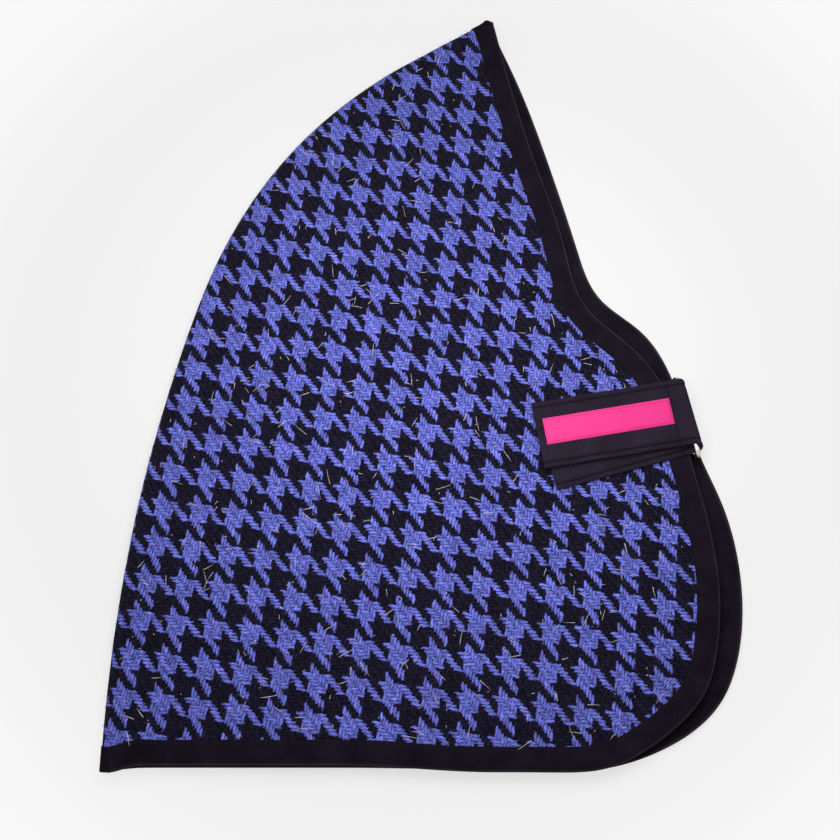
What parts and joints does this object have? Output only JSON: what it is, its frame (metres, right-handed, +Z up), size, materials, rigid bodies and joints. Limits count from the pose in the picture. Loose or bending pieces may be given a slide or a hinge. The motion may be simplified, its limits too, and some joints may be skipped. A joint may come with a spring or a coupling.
{
  "type": "toy horse neck cover",
  "caption": "Two-sided neck cover for a hobby horse, lying folded flat: bound houndstooth cloth on a curved crest seam, closed by a hook-and-loop strap through a wire ring.",
  "frame": {"origin": "middle of the folded cover's outline, on the surface it lies on", "axes": "+X from the crest to the front edge, +Y from the hem up to the poll end, +Z up through the two folded sides"},
  "size_m": [0.3441, 0.4503, 0.0184],
  "materials": {
    "houndstooth_cloth": "matt wool-type twill in a woven blue and black houndstooth",
    "lining_cloth": "matt black",
    "binding": "smooth black binding",
    "webbing": "black twill webbing",
    "grip_tape": "black hook and loop",
    "ribbon": "bare hot pink satin ribbon",
    "nickel": "polished nickel"
  },
  "bodies": {
    "left_side": {"outer_panel_left": "houndstooth_cloth", "lining_left": "lining_cloth", "edge_binding_left": "binding", "outer_panel_crest": "houndstooth_cloth", "lining_crest": "lining_cloth", "binding_poll": "binding", "binding_heel": "binding", "crest_seam_tape": "binding", "keeper_patch": "binding", "ring_keeper": "webbing"},
    "right_side": {"outer_panel_right": "houndstooth_cloth", "lining_right": "lining_cloth", "edge_binding_right": "binding", "strap_base": "webbing", "loop_tape": "grip_tape", "strap_turn": "webbing"},
    "flap": {"strap_flap": "webbing", "hook_tape": "grip_tape", "ribbon_label": "ribbon"},
    "ring": {"closure_ring": "nickel"}
  },
  "joints": [
    {"name": "side_lift", "type": "hinge", "parent": "left_side", "child": "right_side", "pos_m": [-0.06014, -0.00352, 0.0119], "axis": [-0.4227, -0.9063, 0], "range_deg": [0, 170]},
    {"name": "flap_lift", "type": "hinge", "parent": "right_side", "child": "flap", "pos_m": [0.14517, -0.03645, 0.015], "axis": [-0.1981, 0.9802, 0], "range_deg": [0, 165], "deforming": ["strap_turn"]},
    {"name": "ring_swing", "type": "hinge", "parent": "left_side", "child": "ring", "pos_m": [0.14517, -0.03645, 0.0061], "axis": [-0.1981, 0.9802, 0], "range_deg": [0, 75]}
  ]
}
